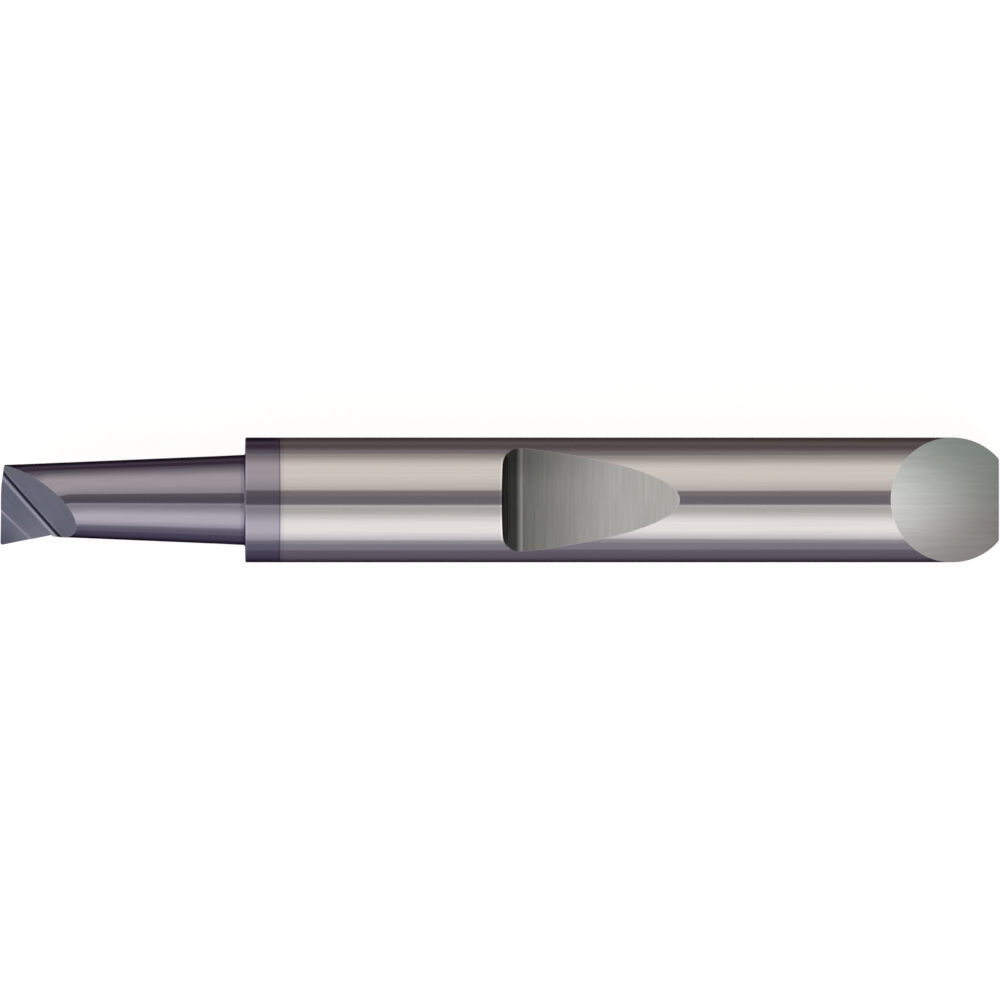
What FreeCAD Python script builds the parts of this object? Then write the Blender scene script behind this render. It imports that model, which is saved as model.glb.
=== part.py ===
import FreeCAD, Part
import math
import os

import Sketcher

# Solid carbide boring bar with a quick-change shank, in millimetres
#
# The bar lies along X. Its cutting nose is at the low end, on the -Y side. Its rake faces look up, along +Z,
# as the locking flat and the locating bevel of the shank do. The origin is on the shank's axis, at the front
# shoulder, so the neck and the head are at negative x and the shank is at positive x.

SIZES = [
    ("shank_diameter", 7.9375, "round shank, five sixteenths of an inch"),
    ("overall_length", 63.5, "nose to rear end, two and a half inches"),
    ("reach", 15.57, "nose to shoulder, the depth that the bar can bore"),
    ("shoulder_break", 0.05, "chamfer on the shoulder's sharp edge"),
    ("rear_break", 0.05, "chamfer round the rear end"),
    ("neck_front_diameter", 4.44, "tapered neck, where the head begins"),
    ("neck_root_diameter", 5.752, "tapered neck, at the shoulder"),
    ("neck_root_radius", 0.1, "ground corner between neck and shoulder"),
    ("nose_offset", 2.874, "shank axis to the nose, measured sideways"),
    ("nose_radius", 0.12, "radius of the cutting nose in plan"),
    ("dish_angle", 10.4, "side edge falls away from the nose by this much, in degrees"),
    ("side_edge_length", 3.2, "nose to the end of the ground side edge, along the bar"),
    ("side_runout_angle", 39.0, "end of the side edge's grind to the bar's axis in plan, in degrees"),
    ("side_relief", 7.0, "clearance of the flank below the side edge, in degrees"),
    ("flank_stock", 0.05, "left on the flank for the grind of its edge"),
    ("flank_radius", 2.15, "rolled heel of the flank, which clears the bore"),
    ("flank_depth", 2.05, "centre height to the lowest part of the flank"),
    ("front_relief", 6.0, "clearance below the front edge, in degrees"),
    ("back_corner_start", 0.35, "past the axis, where the front edge starts to roll away"),
    ("back_corner_radius", 6.2, "radius of the rolled back corner in plan"),
    ("back_corner_turn", 45.0, "how far the back corner turns in plan, in degrees"),
    ("heel_depth", 1.15, "centre height to the second front relief"),
    ("heel_relief", 24.0, "clearance of the second front relief, in degrees"),
    ("gash_angle", 48.5, "chip gash to the bar's axis in plan, in degrees"),
    ("gash_foot", 1.617, "front edge to the foot of the chip wall, along the axis"),
    ("gash_depth", 0.393, "centre height to the foot of the chip wall"),
    ("gash_floor_slope", 8.0, "floor of the gash, falling towards the wall, in degrees"),
    ("gash_radius", 0.33, "corner of the gash between floor and wall"),
    ("chip_wall_slope", 72.0, "short steep wall, in degrees from level"),
    ("chip_wall_height", 0.493, "short steep wall, measured upright"),
    ("clearing_slope", 55.2, "large facet above the wall, in degrees from level"),
    ("land_angle", 43.1, "corner land's inner edge to the bar's axis in plan, in degrees"),
    ("land_width", 1.54, "nose to the corner land's inner edge, square to that edge"),
    ("land_rake", 10.0, "positive rake of the corner land, in degrees"),
    ("land_step_slope", 43.0, "step from the corner land up to the gash floor, in degrees"),
    ("land_step_radius", 0.06, "corner at the foot of that step"),
    ("notch_wall", 16.425, "shoulder to the notch's wall, where the wall meets the locking flat"),
    ("notch_depth", 1.97, "shank surface to the locking flat, at the wall"),
    ("notch_flat_slope", 10.0, "locking flat, rising towards the rear, in degrees"),
    ("notch_wall_draft", 4.0, "lean of the notch's wall, in degrees"),
    ("notch_radius", 1.25, "corner between the notch's wall and its flat"),
    ("bevel_length", 6.965, "locating bevel, from its start on top of the shank to the rear end"),
    ("bevel_slope", 45.0, "locating bevel, in degrees from the bar's axis"),
    ("stock", 1.0, "room that every cutting profile is given past the blank"),
]

NODE = "boring_bar"

# How a sketch's constraint names a line's or an arc's ends, and the sketch's own origin
START = 1
END = 2
ORIGIN = -1


def ref(text):
    """An expression with each size's alias in curly brackets looked up in the sheet."""
    known = {alias: f"Sizes.{alias}" for alias, _, _ in SIZES}
    return text.format(**known)


def tan(alias):
    """The tangent of an angle that the sheet gives in degrees, as an expression."""
    return f"tan({{{alias}}} * 1 deg)"


def make_sheet(doc):
    """The driving sizes, one a row: what it is, its value, its alias."""
    sheet = doc.addObject("Spreadsheet::Sheet", "Sizes")
    for row, (alias, value, meaning) in enumerate(SIZES, start=1):
        sheet.set(f"A{row}", meaning)
        sheet.set(f"B{row}", str(value))
        sheet.setAlias(f"B{row}", alias)
    doc.recompute()
    return sheet


def origin_plane(body, role):
    """One of the body's own origin planes, found by its role."""
    return next(feature for feature in body.Origin.OriginFeatures if feature.Role == role)


def new_sketch(body, name, role, shift=("0", "0", "0"), turn="0"):
    """A sketch on an origin plane, shifted along its own axes and turned about its upright one."""
    sketch = body.newObject("Sketcher::SketchObject", name)
    sketch.AttachmentSupport = [(origin_plane(body, role), "")]
    sketch.MapMode = "FlatFace"
    # A first turn sets the axis, and the expression then gives the angle
    upright = FreeCAD.Rotation(FreeCAD.Vector(0, 1, 0), 1)
    sketch.AttachmentOffset = FreeCAD.Placement(FreeCAD.Vector(), upright)
    for axis, distance in zip("xyz", shift):
        sketch.setExpression(f"AttachmentOffset.Base.{axis}", ref(distance))
    sketch.setExpression("AttachmentOffset.Rotation.Angle", ref(f"({turn}) * 1 deg"))
    return sketch


def hold(sketch, held):
    """Adds all the constraints in one step, then ties the named ones to their expressions."""
    numbers = sketch.addConstraint([constraint for constraint, _, _ in held])
    for number, (_, name, expression) in zip(numbers, held):
        if name:
            sketch.renameConstraint(number, name)
            sketch.setExpression(f"Constraints.{name}", ref(expression))


def placed(sketch, geometry, corner):
    """The constraints that hold a point's place, from the sketch's origin, to the corner's expressions."""
    name, across, up = corner[:3]
    held = []
    for kind, expression in (("DistanceX", across), ("DistanceY", up)):
        value = sketch.evalExpression(ref(expression))
        constraint = Sketcher.Constraint(kind, ORIGIN, START, geometry, START, value)
        held.append((constraint, f"{name}_{kind}", expression))
    return held


def rounding(sketch, corner, previous, sharp, following):
    """The arc that a rounded corner takes: its radius, its centre and where it touches the two sides."""
    radius = sketch.evalExpression(ref(corner[3]))
    to_before = (previous - sharp).normalize()
    to_after = (following - sharp).normalize()
    touch = radius / math.tan(to_before.getAngle(to_after) / 2)
    centre = sharp + (to_before + to_after).normalize() * math.hypot(radius, touch)
    return radius, centre, sharp + to_before * touch, sharp + to_after * touch


def add_arc(sketch, before, after, sharp, arc_size, corner):
    """Draws a corner's arc between two sides. The sharp corner stays, as a construction point."""
    radius, centre, leaves, joins = arc_size
    ends = [leaves - centre, joins - centre]
    turns_left = ends[0].cross(ends[1]).z > 0
    arc_before, arc_after = (START, END) if turns_left else (END, START)
    first, last = ends if turns_left else reversed(ends)
    angles = (math.atan2(end.y, end.x) for end in (first, last))
    circle = Part.Circle(centre, FreeCAD.Vector(0, 0, 1), radius)
    arc = sketch.addGeometry(Part.ArcOfCircle(circle, *angles), False)
    point = sketch.addGeometry(Part.Point(sharp), True)
    held = [
        (Sketcher.Constraint("Tangent", before, END, arc, arc_before), None, None),
        (Sketcher.Constraint("Tangent", arc, arc_after, after, START), None, None),
        (Sketcher.Constraint("PointOnObject", point, START, before), None, None),
        (Sketcher.Constraint("PointOnObject", point, START, after), None, None),
        (Sketcher.Constraint("Radius", arc, radius), f"{corner[0]}_Radius", corner[3]),
    ]
    return held + placed(sketch, point, corner)


def outline(sketch, corners):
    """A closed outline of straight sides through named corners, fully constrained.

    Each corner is (name, across, up), or (name, across, up, radius) where it is rounded, in expressions.
    """
    places = [[sketch.evalExpression(ref(text)) for text in corner[1:3]] for corner in corners]
    points = [FreeCAD.Vector(across, up) for across, up in places]
    count = len(corners)
    arcs = {}
    for number, corner in enumerate(corners):
        if len(corner) == 4:
            around = points[number - 1], points[number], points[(number + 1) % count]
            arcs[number] = rounding(sketch, corner, *around)
    sides = []
    for number in range(count):
        following = (number + 1) % count
        start = arcs[number][3] if number in arcs else points[number]
        end = arcs[following][2] if following in arcs else points[following]
        sides.append(sketch.addGeometry(Part.LineSegment(start, end), False))
    held = []
    for number, corner in enumerate(corners):
        before, after = sides[number - 1], sides[number]
        if number in arcs:
            held += add_arc(sketch, before, after, points[number], arcs[number], corner)
        else:
            held.append((Sketcher.Constraint("Coincident", before, END, after, START), None, None))
            held += placed(sketch, after, corner)
    hold(sketch, held)


def turned_blank(body):
    """The turned form: the tapered neck, the shoulder and the shank, with stock left in front of the head.

    The shank is drawn in two stretches, which meet where the notch begins and keep their own faces. The
    profile lies below the axis, so that the seam of the turned faces runs along the underside.
    """
    sketch = new_sketch(body, "blank_profile", "XZ_Plane")
    front = "-({reach} + {stock})"
    taper = "({neck_root_diameter} - {neck_front_diameter}) / 2 / {reach}"
    notch_start = "{notch_wall} - {notch_depth} * " + tan("notch_wall_draft")
    rear = "{overall_length} - {reach}"
    outline(
        sketch,
        [
            ("front_axis", front, "0"),
            ("front_edge", front, "{stock} * " + taper + " - {neck_front_diameter} / 2"),
            ("neck_root", "0", "-{neck_root_diameter} / 2", "{neck_root_radius}"),
            ("shoulder_inner", "0", "{shoulder_break} - {shank_diameter} / 2"),
            ("shoulder_outer", "{shoulder_break}", "-{shank_diameter} / 2"),
            ("notch_start", notch_start, "-{shank_diameter} / 2"),
            ("rear_outer", rear + " - {rear_break}", "-{shank_diameter} / 2"),
            ("rear_inner", rear, "{rear_break} - {shank_diameter} / 2"),
            ("rear_axis", rear, "0"),
        ],
    )
    blank = body.newObject("PartDesign::Revolution", "turned_blank")
    blank.Profile = sketch
    blank.ReferenceAxis = (sketch, ["H_Axis"])
    blank.Angle = 360
    blank.Refine = False
    return blank


def head_wing(body):
    """The head's wing, which carries the nose out past the neck.

    Its section, seen along the bar, is upright beside the nose and rolls under to a heel that clears the
    bore. It is drawn in front of the nose and pushed back along the side edge, until the neck buries it.
    """
    before_nose = ("-{stock} * " + tan("dish_angle"), "0", "-({reach} + {stock})")
    sketch = new_sketch(body, "wing_section", "YZ_Plane", shift=before_nose)
    flank = "-({nose_offset} + {flank_stock})"
    outline(
        sketch,
        [
            ("inner_top", "0", "{stock}"),
            ("flank_top", flank, "{stock}"),
            ("flank_foot", flank, "-{flank_depth}", "{flank_radius}"),
            ("inner_foot", "0", "-{flank_depth}"),
        ],
    )
    wing = body.newObject("PartDesign::Pad", "head_wing")
    wing.Profile = sketch
    wing.UseCustomVector = True
    wing.Direction = FreeCAD.Vector(1, 0, 0)
    wing.setExpression("Direction.y", ref(tan("dish_angle")))
    wing.AlongSketchNormal = True
    wing.Refine = False
    buried = "({nose_offset} - {neck_front_diameter} / 2) / " + tan("dish_angle")
    wing.setExpression("Length", ref("{stock} + " + buried))
    return wing


def cut(body, name, sketch, length, lean=None):
    """A pocket to both sides of its sketch, or one way down from it, leaning by two slopes along X and Y."""
    pocket = body.newObject("PartDesign::Pocket", name)
    pocket.Profile = sketch
    pocket.setExpression("Length", ref(length))
    pocket.Refine = False
    if lean is None:
        pocket.SideType = "Symmetric"
        return pocket
    pocket.UseCustomVector = True
    pocket.Direction = FreeCAD.Vector(0, 0, -1)
    pocket.setExpression("Direction.x", ref(lean[0]))
    pocket.setExpression("Direction.y", ref(lean[1]))
    pocket.AlongSketchNormal = True
    return pocket


def front_relief(body):
    """The cutting edges in plan, with the clearance below them.

    The grind runs out of the neck beside the head, follows the side edge and turns the nose radius. Then it
    runs straight past the axis and rolls away at the back corner. It is drawn above the bar, with its origin
    over the sharp nose, and goes down along the line that the front face and the flank share.
    """
    above = "({neck_root_diameter} / 2)"
    back = tan("front_relief")
    inward = "(" + tan("side_relief") + " + " + tan("front_relief") + " * " + tan("dish_angle") + ")"
    over_nose = ("-{reach} - " + above + " * " + back, "-{nose_offset} - " + above + " * " + inward, above)
    sketch = new_sketch(body, "front_plan", "XY_Plane", shift=over_nose)
    aside = "{neck_root_diameter}"
    side_end = "{side_edge_length} * " + tan("dish_angle")
    runout = "{side_edge_length} + (" + aside + " + " + side_end + ") / " + tan("side_runout_angle")
    half_turn = "tan({back_corner_turn} / 2 * 1 deg)"
    corner = "{nose_offset} + {back_corner_start} + {back_corner_radius} * " + half_turn
    beyond = corner + " + " + aside + " / " + tan("back_corner_turn")
    outline(
        sketch,
        [
            ("clear_nose", "-" + aside, "-" + aside),
            ("side_clear", runout, "-" + aside),
            ("side_end", "{side_edge_length}", side_end),
            ("nose", "0", "0", "{nose_radius}"),
            ("back_corner", "0", corner, "{back_corner_radius}"),
            ("far_back", aside, beyond),
            ("clear_back", "-" + aside, beyond),
        ],
    )
    return cut(body, "front_relief", sketch, "2 * {neck_root_diameter}", (back, inward))


def heel_relief(body):
    """The second, steeper relief under the front face."""
    sketch = new_sketch(body, "heel_profile", "XZ_Plane")
    start = "-{reach} + {heel_depth} * " + tan("front_relief")
    deep = "{neck_root_diameter}"
    outline(
        sketch,
        [
            ("heel_edge", start, "-{heel_depth}"),
            ("heel_foot", start + " + " + deep + " * " + tan("heel_relief"), "-{heel_depth} - " + deep),
            ("heel_clear", "-{reach} - {stock}", "-{heel_depth} - " + deep),
            ("heel_front", "-{reach} - {stock}", "-{heel_depth}"),
        ],
    )
    return cut(body, "heel_relief", sketch, "2 * {neck_root_diameter}")


def chip_gash(body):
    """The diagonal gash: a floor that falls to a short steep wall, with the large clearing facet above it.

    The profile is drawn square to the gash, with its origin where the front edge crosses the bar's axis.
    """
    sketch = new_sketch(body, "gash_profile", "YZ_Plane", shift=("0", "0", "-{reach}"), turn="-{gash_angle}")
    foot = "{gash_foot} * sin({gash_angle} * 1 deg)"
    wall_top = foot + " + {chip_wall_height} / " + tan("chip_wall_slope")
    wall_top_up = "-{gash_depth} + {chip_wall_height}"
    out = "{shank_diameter}"
    floor_rise = "(" + foot + " + " + out + ") * " + tan("gash_floor_slope")
    facet_run = out + " / " + tan("clearing_slope")
    outline(
        sketch,
        [
            ("floor_end", "-" + out, "-{gash_depth} + " + floor_rise),
            ("wall_foot", foot, "-{gash_depth}", "{gash_radius}"),
            ("wall_top", wall_top, wall_top_up),
            ("facet_top", wall_top + " + " + facet_run, wall_top_up + " + " + out),
            ("clear_top", "-" + out, wall_top_up + " + " + out),
        ],
    )
    return cut(body, "chip_gash", sketch, "2 * {shank_diameter}")


def corner_land(body):
    """The corner land behind the nose, ground a little below the gash floor and ended by a small step."""
    at_nose = ("-{nose_offset}", "0", "-{reach}")
    sketch = new_sketch(body, "land_profile", "YZ_Plane", shift=at_nose, turn="-{land_angle}")
    out = "({shank_diameter} / 2)"
    fall = tan("land_rake")
    foot_up = "-{land_width} * " + fall
    outline(
        sketch,
        [
            ("nose_side", "-" + out, out + " * " + fall),
            ("step_foot", "{land_width}", foot_up, "{land_step_radius}"),
            ("step_top", "{land_width} + " + out + " / " + tan("land_step_slope"), foot_up + " + " + out),
            ("clear_top", "-" + out, foot_up + " + " + out),
        ],
    )
    return cut(body, "corner_land", sketch, "2 * {shank_diameter}")


def locking_notch(body):
    """The locking notch: a leaning wall, a round corner and a flat that rises to run out on the shank."""
    sketch = new_sketch(body, "notch_profile", "XZ_Plane")
    above = "{shank_diameter} / 2 + {stock}"
    rise = "({notch_depth} + {stock})"
    outline(
        sketch,
        [
            ("wall_foot", "{notch_wall}", "{shank_diameter} / 2 - {notch_depth}", "{notch_radius}"),
            ("flat_end", "{notch_wall} + " + rise + " / " + tan("notch_flat_slope"), above),
            ("wall_top", "{notch_wall} - " + rise + " * " + tan("notch_wall_draft"), above),
        ],
    )
    return cut(body, "locking_notch", sketch, "2 * {shank_diameter}")


def locating_bevel(body):
    """The rear bevel, which seats on the holder's stop and turns the nose to centre height."""
    sketch = new_sketch(body, "bevel_profile", "XZ_Plane")
    above = "{shank_diameter} / 2 + {stock}"
    start = "{overall_length} - {reach} - {bevel_length}"
    behind = "{overall_length} - {reach} + {stock}"
    fall = "({bevel_length} + {stock}) * " + tan("bevel_slope")
    outline(
        sketch,
        [
            ("bevel_start", start + " - {stock} / " + tan("bevel_slope"), above),
            ("bevel_end", behind, "{shank_diameter} / 2 - " + fall),
            ("bevel_clear", behind, above),
        ],
    )
    return cut(body, "locating_bevel", sketch, "2 * {shank_diameter}")


FEATURES = (
    turned_blank,
    head_wing,
    front_relief,
    heel_relief,
    chip_gash,
    corner_land,
    locking_notch,
    locating_bevel,
)


def check(doc, body, volumes):
    """Stops unless every object is sound, every feature changed the solid and the body is one valid solid."""
    failed = [item.Name for item in doc.Objects if {"Invalid", "Error"} & set(item.State)]
    if failed:
        raise RuntimeError("failed: " + ", ".join(failed))
    if len(set(volumes)) < len(FEATURES):
        raise RuntimeError("a feature cut or added nothing")
    shape = body.Shape
    if shape.isNull() or not shape.isValid() or len(shape.Solids) != 1:
        raise RuntimeError("the bar is not one valid solid")


def main():
    doc = FreeCAD.newDocument(NODE)
    make_sheet(doc)
    body = doc.addObject("PartDesign::Body", NODE)
    body.Label = NODE
    body.Placement = FreeCAD.Placement()
    volumes = []
    for add_feature in FEATURES:
        feature = add_feature(body)
        doc.recompute()
        volumes.append(feature.Shape.Volume)
    check(doc, body, volumes)
    os.makedirs("parts", exist_ok=True)
    body.Shape.exportStep(os.path.join("parts", body.Label + ".step"))


main()
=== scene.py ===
import math

import bmesh
import bpy
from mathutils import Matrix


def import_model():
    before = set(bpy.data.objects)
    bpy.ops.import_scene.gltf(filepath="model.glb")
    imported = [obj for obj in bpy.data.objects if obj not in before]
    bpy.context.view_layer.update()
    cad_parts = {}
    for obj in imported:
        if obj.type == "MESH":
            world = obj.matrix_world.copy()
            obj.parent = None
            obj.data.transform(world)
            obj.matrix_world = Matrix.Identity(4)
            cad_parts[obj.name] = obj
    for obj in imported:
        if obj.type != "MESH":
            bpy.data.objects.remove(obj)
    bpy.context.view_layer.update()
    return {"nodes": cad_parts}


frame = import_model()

MM = 0.001

# The bar's real sizes that the finishes follow, in millimetres and degrees. The bar lies along x with
# its top up, its shoulder at 0 and its nose at (-NOSE_REACH, -NOSE_OFFSET)
SHANK_RADIUS = 7.9375 / 2
NECK_ROOT_RADIUS = 5.752 / 2
NECK_TIP_RADIUS = 4.44 / 2
NOSE_REACH = 15.57
NOSE_OFFSET = 2.874
NECK_TAPER = (NECK_ROOT_RADIUS - NECK_TIP_RADIUS) / NOSE_REACH
GASH_ANGLE = 48.5
CHIP_WALL_FOOT = 1.115
CHIP_WALL_TOP = 1.375
LAND_ANGLE = 43.1
NOTCH_WALL = 16.565
NOTCH_WALL_LEAN = 0.07
NOTCH_FLAT = 17.6

# No ground face starts at these places along the bar, so they part the head, the notch and the bevel.
# Behind the last one the bevel has no bright rim
BEHIND_HEAD = -9.0
BEFORE_NOTCH = 10.0
BEFORE_BEVEL = 34.0
BEVEL_RIM_END = 44.0

# A ground face lies deeper than the skin here, or its normal leans along the bar by more than the tilt
# here, or that normal's share straight out from the axis is under the facing here
SHANK_SKIN = 0.03
SHANK_TILT = 0.03
NECK_SKIN = 0.06
NECK_FACING = 0.985

# The coating ends this far behind the shoulder, and a little further back on top of the shank
COAT_END = 2.165
COAT_BULGE = 0.10

# The stage, in millimetres, and how bright the floor looks to the camera and in reflections
FLOOR_Z = -SHANK_RADIUS
FLOOR_REACH = 3000
FLOOR_GREY = 0.40
FLOOR_GLOW = 0.84
CARD_LIFT = 0.03
DARK_CARD_REACH = 1200
REAR_CARD_X = 62
REAR_CARD_REACH = 20
REAR_CARD_TOP = 10
TENT_FOOT = -0.2

# The camera, straight above the middle of the bar
LENS = 1200.0
SENSOR = 36.0
PICTURE_WIDTH = 63.55
PICTURE_CENTRE = (16.18, -0.006)

scene = bpy.context.scene
scene.view_settings.view_transform = "Standard"


class Graph:
    """Builds a node tree from short calls. A value is a number, a tuple or another node's output."""

    def __init__(self, tree):
        self.tree = tree
        self.tree.nodes.clear()

    def node(self, kind, **settings):
        made = self.tree.nodes.new(kind)
        for name, value in settings.items():
            setattr(made, name, value)
        return made

    def feed(self, socket, value):
        if isinstance(value, bpy.types.NodeSocket):
            self.tree.links.new(value, socket)
        else:
            socket.default_value = value

    def feed_all(self, sockets, values):
        for socket, value in zip(sockets, values):
            self.feed(socket, value)

    def show(self, shader):
        """Makes a shader node the look of the material."""
        out = self.node("ShaderNodeOutputMaterial")
        self.feed(out.inputs["Surface"], shader.outputs[0])

    def math(self, operation, *values):
        made = self.node("ShaderNodeMath", operation=operation)
        self.feed_all(made.inputs, values)
        return made.outputs[0]

    def times(self, first, second):
        return self.math("MULTIPLY", first, second)

    def plus(self, first, second):
        return self.math("ADD", first, second)

    def minus(self, first, second):
        return self.math("SUBTRACT", first, second)

    def larger(self, first, second):
        return self.math("MAXIMUM", first, second)

    def above(self, value, limit):
        """1 where the value is over the limit, 0 elsewhere."""
        return self.math("GREATER_THAN", value, limit)

    def below(self, value, limit):
        """1 where the value is under the limit, 0 elsewhere."""
        return self.math("LESS_THAN", value, limit)

    def vector(self, operation, *values, output="Vector", **named):
        made = self.node("ShaderNodeVectorMath", operation=operation)
        self.feed_all(made.inputs, values)
        for name, value in named.items():
            self.feed(made.inputs[name], value)
        return made.outputs[output]

    def ramp(self, value, start, end, low=0.0, high=1.0, smooth=True):
        """Goes from low at start to high at end, and stays level beyond them."""
        shape = "SMOOTHSTEP" if smooth else "LINEAR"
        made = self.node("ShaderNodeMapRange", interpolation_type=shape)
        self.feed_all(made.inputs, (value, start, end, low, high))
        return made.outputs["Result"]

    def between(self, value, start, end, soft_start, soft_end):
        """1 between start and end, with soft edges of these half widths."""
        rise = self.ramp(value, start - soft_start, start + soft_start)
        fall = self.ramp(value, end - soft_end, end + soft_end, 1.0, 0.0)
        return self.times(rise, fall)

    def mix(self, factor, first, second):
        """The first colour where the factor is 0, the second where it is 1."""
        made = self.node("ShaderNodeMix", data_type="RGBA")
        self.feed(made.inputs[0], factor)
        for socket, value in ((made.inputs[6], first), (made.inputs[7], second)):
            self.feed(socket, value if isinstance(value, bpy.types.NodeSocket) else (*value, 1.0))
        return made.outputs[2]

    def blend(self, factor, first, second):
        """The first number where the factor is 0, the second where it is 1."""
        made = self.node("ShaderNodeMix", data_type="FLOAT")
        self.feed_all((made.inputs[0], made.inputs[2], made.inputs[3]), (factor, first, second))
        return made.outputs[0]

    def steps(self, value, colour, *changes, smooth=True):
        """Starts with a colour and turns it into each next one over its own range of the value."""
        for start, end, following in changes:
            colour = self.mix(self.ramp(value, start, end, smooth=smooth), colour, following)
        return colour

    def bands(self, value, colour, *bands):
        """Lays soft-edged bands over a colour: start, end, soft start, soft end and colour of each."""
        for start, end, soft_start, soft_end, band in bands:
            colour = self.mix(self.between(value, start, end, soft_start, soft_end), colour, band)
        return colour

    def split(self, vector):
        made = self.node("ShaderNodeSeparateXYZ")
        self.feed(made.inputs[0], vector)
        return made.outputs[0], made.outputs[1], made.outputs[2]

    def in_millimetres(self, place):
        return self.split(self.vector("SCALE", place, Scale=1 / MM))

    def join(self, x, y, z):
        made = self.node("ShaderNodeCombineXYZ")
        self.feed_all(made.inputs, (x, y, z))
        return made.outputs[0]

    def marks(self, x, y, z, rough=0.5):
        """Fine marks of the grinding, 0 to 1. They are long where the place changes slowly."""
        made = self.node("ShaderNodeTexNoise")
        settings = {"Vector": self.join(x, y, z), "Scale": 1.0, "Detail": 3.0, "Roughness": rough}
        for name, value in settings.items():
            self.feed(made.inputs[name], value)
        return self.ramp(made.outputs["Fac"], 0.3, 0.7)


def sine_and_cosine(degrees):
    angle = math.radians(degrees)
    return math.sin(angle), math.cos(angle)


def new_material(name):
    material = bpy.data.materials.new(name)
    material.use_nodes = True
    return material, Graph(material.node_tree)


def behind_coating(g, x, z):
    """Millimetres behind the end of the coating."""
    bulge = g.times(g.larger(z, 0.0), COAT_BULGE / SHANK_RADIUS)
    return g.minus(x, g.plus(bulge, COAT_END))


def shank_paint(g, x, z, behind_coat, marks):
    """Bare carbide, darker just behind the coating, with a painted highlight along the top of the
    notch's wall.
    """
    colour = g.mix(marks, (0.585, 0.570, 0.565), (0.615, 0.600, 0.595))
    colour = g.bands(behind_coat, colour, (0.0, 0.22, 0.03, 0.05, (0.545, 0.530, 0.530)))
    # A painted highlight just before the top edge of the notch's wall, on the top of the shank
    wall_top = g.math("MULTIPLY_ADD", z, -NOTCH_WALL_LEAN, NOTCH_WALL)
    highlight_before_wall = g.between(g.minus(wall_top, x), 0.0, 0.09, 0.01, 0.02)
    return g.mix(g.times(highlight_before_wall, g.ramp(z, 2.8, 3.0)), colour, (0.80, 0.79, 0.77))


def coating_paint(g, x, behind_coat, marks):
    """The dark coating, with a darker rim at its end, a painted highlight along the shoulder edge and
    painted shade at the neck root.
    """
    colour = g.mix(marks, (0.321, 0.302, 0.362), (0.337, 0.318, 0.380))
    colour = g.bands(behind_coat, colour, (-0.09, -0.01, 0.03, 0.03, (0.20, 0.18, 0.26)))
    # Painted light: a highlight along the shoulder's edge, and shade in the corner where the neck
    # meets the shoulder
    shoulder_edge_highlight = (0.03, 0.11, 0.01, 0.02, (0.45, 0.42, 0.52))
    neck_root_shade = (-0.26, -0.03, 0.12, 0.01, (0.25, 0.235, 0.30))
    return g.bands(x, colour, shoulder_edge_highlight, neck_root_shade)


def notch_paint(g, x, y):
    """The flat, ground across and painted lighter to the rear, and before it the notch's round corner,
    painted darker, with painted shade at the wall's foot and a painted highlight where the flat
    starts.
    """
    marks = g.marks(g.times(x, 5.2), g.times(y, 0.22), 0.0, 0.65)
    # Painted light: the flat is painted lighter towards the rear
    painted_light_rearwards = g.ramp(x, NOTCH_FLAT, 23.2, smooth=False)
    dull = g.mix(painted_light_rearwards, (0.36, 0.37, 0.35), (0.66, 0.67, 0.645))
    bright = g.mix(painted_light_rearwards, (0.44, 0.45, 0.42), (0.74, 0.755, 0.73))
    flat = g.mix(marks, dull, bright)
    # The round corner is painted darker than the flat as painted shade, darkest at the wall's foot,
    # with a painted highlight where the flat starts
    colour = g.steps(x, (0.35, 0.35, 0.34), (16.3, 17.45, flat), smooth=False)
    wall_foot_shade = (16.64, 16.84, 0.03, 0.03, (0.16, 0.16, 0.155))
    flat_start_highlight = (17.26, 17.63, 0.08, 0.09, (0.93, 0.97, 0.90))
    colour = g.bands(x, colour, wall_foot_shade, flat_start_highlight)
    # Painted shade darkens the flat's far side, most at the front of the flat
    far_side_shade = g.times(g.ramp(y, 0.6, 2.8), g.ramp(x, NOTCH_FLAT, 24.0, 0.3, 0.0, smooth=False))
    return g.mix(far_side_shade, colour, (0.0, 0.0, 0.0))


def bevel_paint(g, x, y):
    """The rear bevel, ground along the bar."""
    marks = g.marks(g.times(x, 0.18), g.times(y, 3.4), 5.0, 0.6)
    return g.mix(marks, (0.57, 0.575, 0.565), (0.62, 0.625, 0.615))


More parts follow.
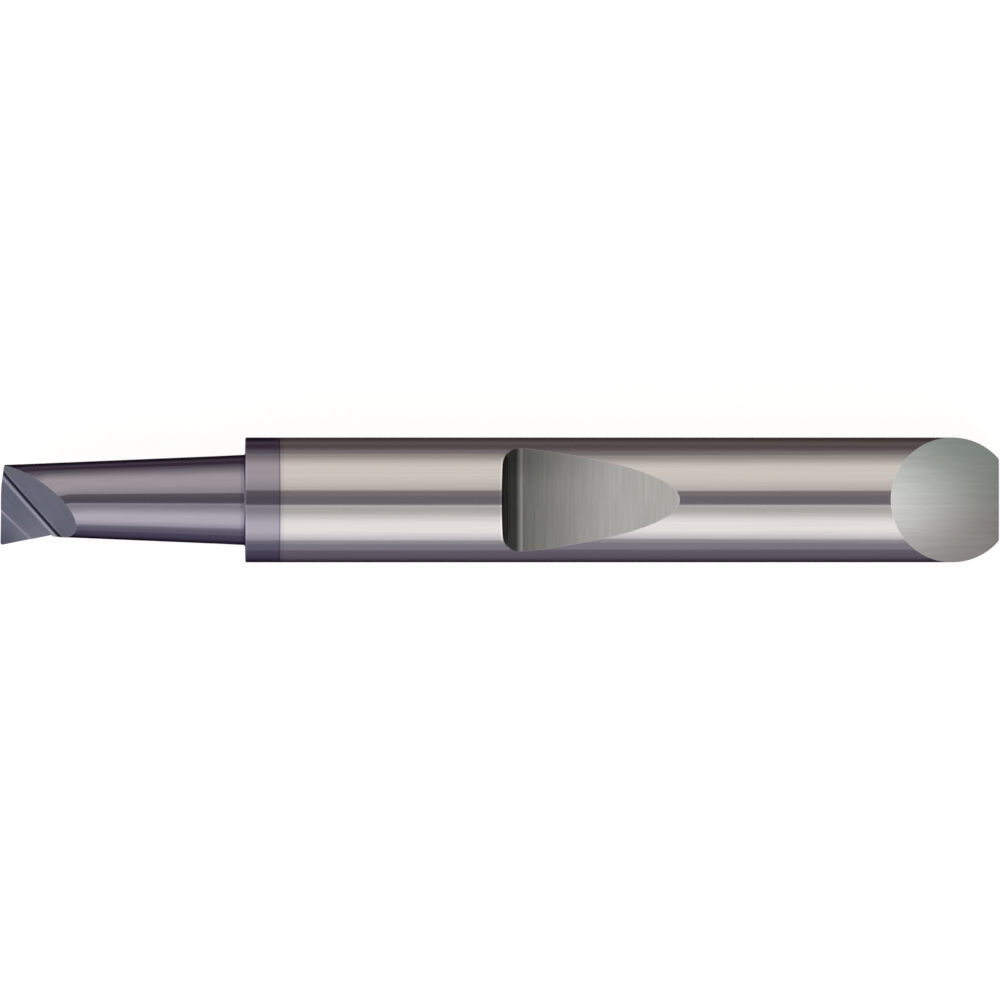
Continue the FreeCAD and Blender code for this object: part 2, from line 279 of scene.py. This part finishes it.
def head_paint(g, x, y, across_gash, rake_side, chip_wall):
    """The coated head: facet, chip wall and rake with its corner land above, plain reliefs below.
    Painted highlights and painted shade lie on the top faces.
    """
    slant = g.plus(g.times(x, 5.3), g.times(y, 4.5))
    marks = g.marks(slant, g.times(g.minus(x, y), 0.35), 9.0, 0.6)

    facet = g.mix(marks, (0.362, 0.378, 0.430), (0.410, 0.420, 0.475))
    # A painted highlight along the facet's edge next to the chip wall
    facet = g.steps(across_gash, (0.51, 0.52, 0.55), (1.40, 1.47, facet))

    sine, cosine = sine_and_cosine(GASH_ANGLE)
    along_gash = g.math("MULTIPLY_ADD", x, cosine, NOSE_REACH * cosine)
    along_gash = g.minus(along_gash, g.times(y, sine))
    # Painted light: the rake is painted lighter away from the front
    painted_light_from_front = g.ramp(along_gash, 1.2, 3.2, smooth=False)
    dark = g.mix(painted_light_from_front, (0.325, 0.365, 0.505), (0.45, 0.465, 0.605))
    light = g.mix(painted_light_from_front, (0.355, 0.40, 0.545), (0.49, 0.505, 0.65))
    rake = g.mix(marks, dark, light)
    # Painted shade darkens the rake close to the nose
    nose = (-NOSE_REACH, -NOSE_OFFSET, 0.0)
    from_nose = g.vector("DISTANCE", g.join(x, y, 0.0), nose, output="Value")
    rake = g.steps(from_nose, (0.23, 0.26, 0.37), (0.3, 1.6, rake))

    sine, cosine = sine_and_cosine(LAND_ANGLE)
    across_land = g.math("MULTIPLY_ADD", x, sine, NOSE_REACH * sine + NOSE_OFFSET * cosine)
    across_land = g.math("MULTIPLY_ADD", y, cosine, across_land)
    # A painted shadow line and a painted highlight along the step to the corner land
    land_step_shade = (1.53, 1.595, 0.01, 0.01, (0.33, 0.31, 0.35))
    land_step_highlight = (1.60, 1.70, 0.01, 0.04, (0.55, 0.53, 0.67))
    rake = g.bands(across_land, rake, land_step_shade, land_step_highlight)
    # A painted highlight along the rake just before the foot of the chip wall
    rake = g.bands(across_gash, rake, (0.92, 1.06, 0.04, 0.03, (0.50, 0.48, 0.61)))

    # The chip wall is painted dark as painted shade, with a painted highlight along its top
    wall = g.steps(across_gash, (0.07, 0.08, 0.09), (1.28, 1.37, (0.55, 0.57, 0.51)))
    upper = g.mix(chip_wall, g.mix(g.above(across_gash, CHIP_WALL_TOP), rake, facet), wall)
    relief = g.mix(marks, (0.340, 0.355, 0.430), (0.375, 0.390, 0.465))
    return g.mix(rake_side, relief, upper)


def carbide():
    """Ground carbide: bare along the shank, coated on the neck and head, coarser on ground faces."""
    material, g = new_material("carbide")
    coords = g.node("ShaderNodeTexCoord").outputs
    x, y, z = g.in_millimetres(coords["Object"])
    along, _, up = g.split(coords["Normal"])
    from_axis = g.join(0.0, y, z)
    radius = g.vector("LENGTH", from_axis, output="Value")

    # Where each finish lies
    tilted = g.above(g.math("ABSOLUTE", along), SHANK_TILT)
    off_skin = g.larger(tilted, g.below(radius, SHANK_RADIUS - SHANK_SKIN))
    cut = g.times(g.above(x, BEFORE_NOTCH), off_skin)
    bevel = g.times(cut, g.above(x, BEFORE_BEVEL))
    notch = g.minus(cut, bevel)
    cone = g.math("MULTIPLY_ADD", x, NECK_TAPER, NECK_ROOT_RADIUS)
    off_cone = g.math("ABSOLUTE", g.minus(radius, cone))
    outwards = g.vector("NORMALIZE", from_axis)
    facing_out = g.vector("DOT_PRODUCT", coords["Normal"], outwards, output="Value")
    off_neck = g.larger(g.above(off_cone, NECK_SKIN), g.below(facing_out, NECK_FACING))
    head = g.times(g.below(x, BEHIND_HEAD), off_neck)
    sine, cosine = sine_and_cosine(GASH_ANGLE)
    across_gash = g.math("MULTIPLY_ADD", x, sine, NOSE_REACH * sine)
    across_gash = g.plus(across_gash, g.times(y, cosine))
    rake_side = g.above(up, 0.2)
    chip_wall = g.between(across_gash, CHIP_WALL_FOOT, CHIP_WALL_TOP, 0.075, 0.01)
    chip_wall = g.times(rake_side, chip_wall)
    behind_coat = behind_coating(g, x, z)
    coated = g.ramp(behind_coat, -0.03, 0.04, 1.0, 0.0)

    # Thin painted highlights where a ground face meets the round skin
    cut_rim_highlight = g.times(cut, g.ramp(radius, SHANK_RADIUS - 0.024, SHANK_RADIUS - 0.014))
    cut_rim_highlight = g.times(cut_rim_highlight, g.below(x, BEVEL_RIM_END))
    head_rim_highlight = g.times(head, g.ramp(off_cone, 0.012, 0.03, 1.0, 0.0))
    head_rim_highlight = g.times(head_rim_highlight, g.above(across_gash, 1.4))
    rim = g.times(g.larger(cut_rim_highlight, head_rim_highlight), 0.6)

    # The colour of each finish, one laid over the other
    marks = g.marks(g.times(x, 0.12), g.times(y, 9.0), g.times(z, 9.0))
    colour = g.mix(notch, shank_paint(g, x, z, behind_coat, marks), notch_paint(g, x, y))
    colour = g.mix(bevel, colour, bevel_paint(g, x, y))
    colour = g.mix(coated, colour, coating_paint(g, x, behind_coat, marks))
    head_colour = head_paint(g, x, y, across_gash, rake_side, chip_wall)
    colour = g.mix(head, colour, head_colour)
    # The painted highlights along those edges
    colour = g.mix(rim, colour, (0.80, 0.79, 0.82))

    # Roughness. The notch's flat gets duller towards its run-out
    notch_rough = g.ramp(x, NOTCH_FLAT, 25.5, 0.22, 0.60, smooth=False)
    rough = g.blend(notch, 0.10, notch_rough)
    for region, value in ((bevel, 0.22), (head, 0.42), (g.times(head, chip_wall), 0.25)):
        rough = g.blend(region, rough, value)

    # The tint is for glancing angles, where it darkens the bar's outline
    surface = g.node("ShaderNodeBsdfPrincipled")
    surface.inputs["Metallic"].default_value = 1.0
    surface.inputs["Specular Tint"].default_value = (0.33, 0.28, 0.37, 1.0)
    g.feed(surface.inputs["Base Color"], colour)
    g.feed(surface.inputs["Roughness"], rough)
    g.show(surface)
    return material


def glow(name, paint):
    """A material that only shines, in the colour that paint(graph) works out."""
    material, g = new_material(name)
    # Rays that bounce off the bar find these wide smooth sources by themselves, which is faster
    material.cycles.emission_sampling = "NONE"
    shine = g.node("ShaderNodeEmission")
    g.feed(shine.inputs["Color"], paint(g))
    g.show(shine)
    return material


def tent_paint(g):
    """Two long softboxes over the bar with a dark slot between them.

    They lie at angles round the bar's axis, in degrees from overhead towards the near side.
    """
    position = g.node("ShaderNodeNewGeometry").outputs["Position"]
    x, y, z = g.split(g.vector("NORMALIZE", position))
    side = g.times(g.math("ARCTAN2", g.times(y, -1.0), z), 180 / math.pi)
    lean = g.times(g.math("ARCSINE", x), 180 / math.pi)
    far_box = g.steps(
        side, (0.42, 0.38, 0.36),
        (-95.0, -62.0, (1.00, 0.93, 0.87)),
        (-46.0, -14.0, (0.72, 0.68, 0.65)),
    )
    slot = g.steps(side, (0.295, 0.258, 0.262), (-8.5, -6.0, (0.228, 0.212, 0.238)))
    near_box = g.steps(
        side, (0.75, 0.735, 0.735),
        (11.0, 16.0, (0.635, 0.615, 0.605)),
        (16.0, 48.0, (1.28, 1.24, 1.23)),
        (58.0, 80.0, (0.88, 0.86, 0.90)),
        (77.0, 84.0, (0.42, 0.41, 0.455)),
    )
    light = g.steps(side, far_box, (-18.4, -16.6, slot), (8.8, 10.0, near_box))
    # The slot widens and darkens towards the rear, and lightens a little towards the front
    rear = g.times(g.ramp(lean, 7.0, 20.0), g.between(side, -45.0, 45.0, 12.0, 12.0))
    light = g.mix(rear, light, (0.075, 0.075, 0.075))
    front = g.times(g.ramp(lean, -7.0, -22.0), g.between(side, -17.0, 8.0, 2.0, 2.0))
    return g.mix(front, light, (0.34, 0.34, 0.33))


def dark_card_paint(g):
    """A dark card under the bar, darkest close to it, cooler on the near side and by the neck."""
    x, y, _ = g.in_millimetres(g.node("ShaderNodeNewGeometry").outputs["Position"])
    away = g.math("ABSOLUTE", y)
    under_shank = g.ramp(x, 1.4, 2.6)
    near = g.steps(
        away, g.mix(under_shank, (0.055, 0.044, 0.070), (0.075, 0.060, 0.072)),
        (4.2, 8.8, g.mix(under_shank, (0.182, 0.166, 0.245), (0.215, 0.190, 0.235))),
        (10.0, 14.0, g.mix(under_shank, (0.203, 0.185, 0.265), (0.205, 0.178, 0.235))),
        (20.0, 26.0, g.mix(under_shank, (0.322, 0.315, 0.405), (0.325, 0.305, 0.365))),
    )
    # Under the coated front end of the shank the bands lie a little further out than by the neck
    past_neck = g.minus(away, g.ramp(x, -0.6, 0.0, 0.0, 0.9))
    by_neck = g.steps(
        past_neck, (0.068, 0.046, 0.072),
        (6.2, 8.8, (0.210, 0.165, 0.195)),
        (8.8, 11.8, (0.114, 0.075, 0.114)),
    )
    by_shank = g.steps(
        away, (0.165, 0.140, 0.115),
        (7.0, 9.0, (0.212, 0.182, 0.162)),
        (10.0, 14.0, (0.153, 0.116, 0.124)),
    )
    far = g.steps(
        away, g.mix(under_shank, by_neck, by_shank),
        (15.0, 32.0, (0.29, 0.255, 0.265)),
        (44.0, 130.0, g.mix(under_shank, (0.49, 0.475, 0.475), (0.47, 0.44, 0.41))),
    )
    light = g.steps(y, near, (-3.0, 3.0, far))
    return g.steps(x, light, (-17.0, -23.0, (0.30, 0.31, 0.36)))


def rear_card_paint(g):
    """An upright card behind the bar, lightest at mid-height above the shank."""
    _, y, z = g.in_millimetres(g.node("ShaderNodeNewGeometry").outputs["Position"])
    flattened = g.join(0.0, g.times(y, 1.75), z)
    off_middle = g.vector("DISTANCE", flattened, (0.0, -0.15, 6.0), output="Value")
    edge = g.steps(y, (0.43, 0.39, 0.385), (-4.0, 4.0, (0.35, 0.405, 0.36)))
    return g.steps(off_middle, (1.38, 1.38, 1.39), (1.5, 7.8, edge), smooth=False)


def sheet(name, corners, material):
    """A flat sheet through four corners in millimetres."""
    mesh = bpy.data.meshes.new(name)
    mesh.from_pydata([[c * MM for c in corner] for corner in corners], [], [(0, 1, 2, 3)])
    made = bpy.data.objects.new(name, mesh)
    mesh.materials.append(material)
    scene.collection.objects.link(made)
    return made


def level_sheet(name, reach, height, material):
    corners = [(-reach, -reach), (reach, -reach), (reach, reach), (-reach, reach)]
    return sheet(name, [(*corner, height) for corner in corners], material)


def only_in_reflections(made, diffuse=False):
    made.visible_camera = False
    made.visible_diffuse = diffuse
    made.visible_shadow = False
    made.visible_transmission = False


def cards():
    """The dark card under the bar and the light one that stands behind it."""
    low = FLOOR_Z + CARD_LIFT
    dark = glow("dark_card", dark_card_paint)
    only_in_reflections(level_sheet("dark_card", DARK_CARD_REACH, low, dark))
    corners = [
        (REAR_CARD_X, -REAR_CARD_REACH, low),
        (REAR_CARD_X, REAR_CARD_REACH, low),
        (REAR_CARD_X, REAR_CARD_REACH, REAR_CARD_TOP),
        (REAR_CARD_X, -REAR_CARD_REACH, REAR_CARD_TOP),
    ]
    only_in_reflections(sheet("rear_card", corners, glow("rear_card", rear_card_paint)))


def floor():
    """A pale floor that takes the bar's shadow and is near white to the camera and in reflections."""
    material, g = new_material("floor")
    base = g.node("ShaderNodeBsdfDiffuse")
    base.inputs["Color"].default_value = (FLOOR_GREY, FLOOR_GREY, FLOOR_GREY, 1.0)
    path = g.node("ShaderNodeLightPath").outputs
    mirrored = g.larger(path["Is Glossy Ray"], path["Is Transmission Ray"])
    seen = g.larger(path["Is Camera Ray"], mirrored)
    shine = g.node("ShaderNodeEmission")
    g.feed(shine.inputs["Strength"], g.times(seen, FLOOR_GLOW))
    both = g.node("ShaderNodeAddShader")
    g.feed_all(both.inputs, (base.outputs[0], shine.outputs[0]))
    g.show(both)
    level_sheet("floor", FLOOR_REACH, FLOOR_Z, material)


def light_tent():
    """A half dome round the bar that carries the softboxes. The camera looks in through it."""
    mesh = bpy.data.meshes.new("light_tent")
    shell = bmesh.new()
    bmesh.ops.create_uvsphere(shell, u_segments=48, v_segments=24, radius=1.0)
    under = [v for v in shell.verts if v.co.z < TENT_FOOT]
    bmesh.ops.delete(shell, geom=under, context="VERTS")
    bmesh.ops.reverse_faces(shell, faces=shell.faces)
    shell.to_mesh(mesh)
    shell.free()
    tent = bpy.data.objects.new("light_tent", mesh)
    mesh.materials.append(glow("tent", tent_paint))
    scene.collection.objects.link(tent)
    only_in_reflections(tent, diffuse=True)


def world():
    sky = bpy.data.worlds.new("white")
    sky.use_nodes = True
    sky.node_tree.nodes["Background"].inputs["Color"].default_value = (1.0, 1.0, 1.0, 1.0)
    scene.world = sky


def camera():
    """Straight above the bar through a long lens, with the bar's length across the whole picture."""
    data = bpy.data.cameras.new("camera")
    data.lens = LENS
    data.sensor_width = SENSOR
    data.clip_start = 0.01
    data.clip_end = 10.0
    made = bpy.data.objects.new("camera", data)
    height = PICTURE_WIDTH * LENS / SENSOR
    made.location = [c * MM for c in (*PICTURE_CENTRE, height)]
    scene.collection.objects.link(made)
    scene.camera = made


bar = frame["nodes"]["boring_bar"]
bar.data.materials.clear()
bar.data.materials.append(carbide())

cards()
floor()
light_tent()
world()
camera()
